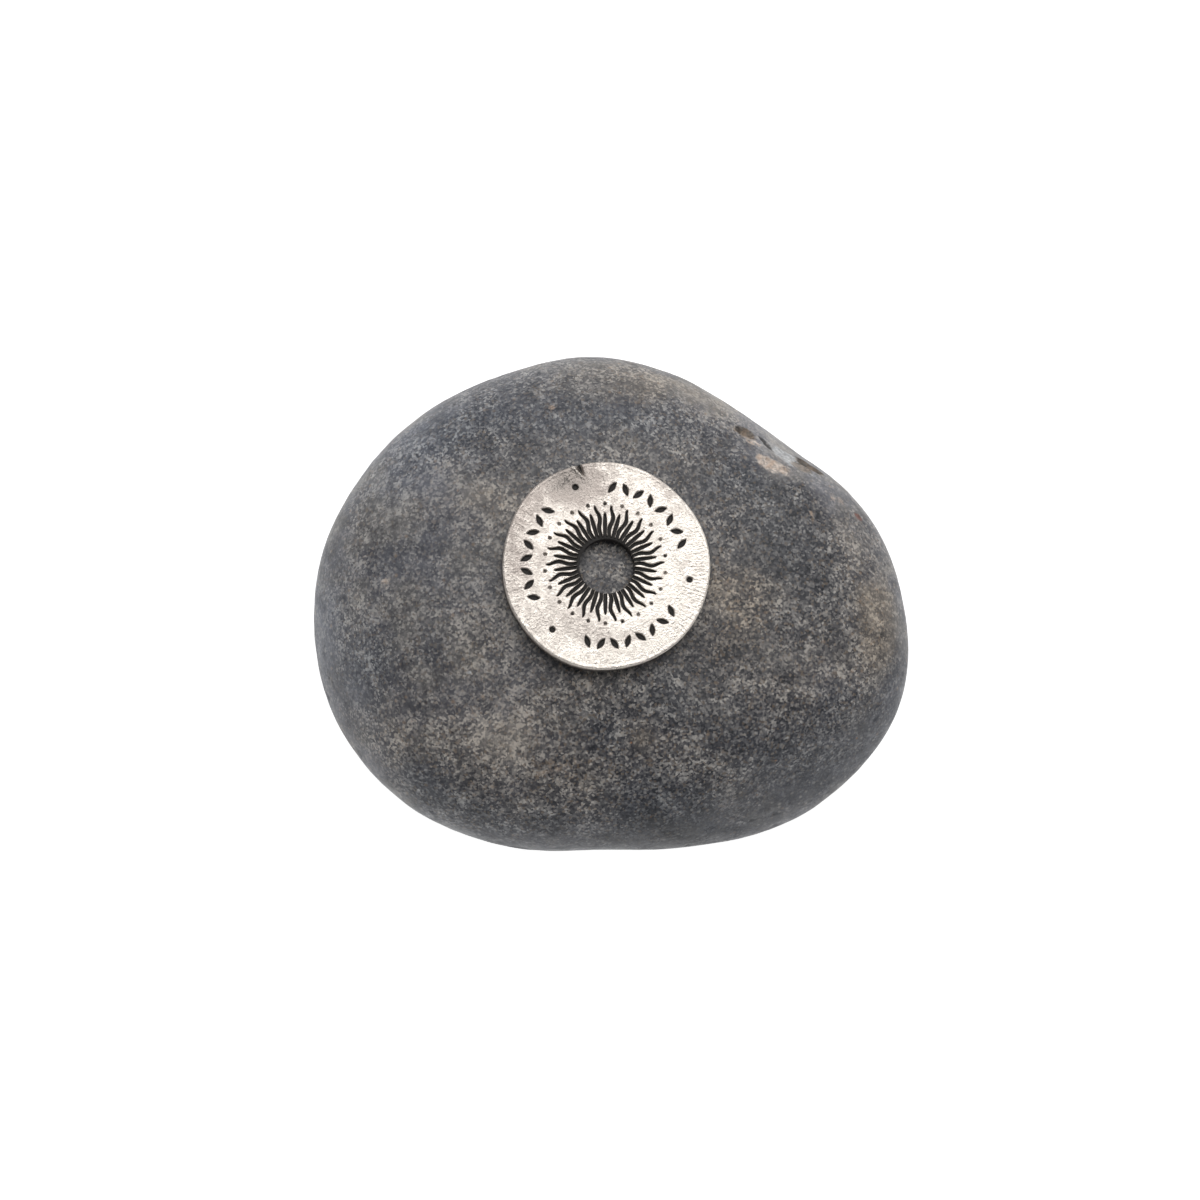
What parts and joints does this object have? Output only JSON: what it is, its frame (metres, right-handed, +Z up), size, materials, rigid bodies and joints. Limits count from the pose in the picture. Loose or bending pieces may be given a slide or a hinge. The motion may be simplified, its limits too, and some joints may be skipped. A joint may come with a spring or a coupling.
{
  "type": "meditation stone",
  "caption": "Palm-size smooth beach pebble with a round pewter disc glued on top; the disc has a centre hole and a sunk sun ornament.",
  "frame": {"origin": "under the middle of the pebble's outline, on the flat foot that it rests on", "axes": "+Z up through the disc, +X along the pebble's length, with its hollowed and chipped shoulder towards +X +Y"},
  "size_m": [0.0752, 0.0626, 0.0302],
  "materials": {
    "stone": "matte",
    "pewter": "satin"
  },
  "bodies": {
    "root": {"stone": "stone", "disc": "pewter"}
  },
  "joints": []
}
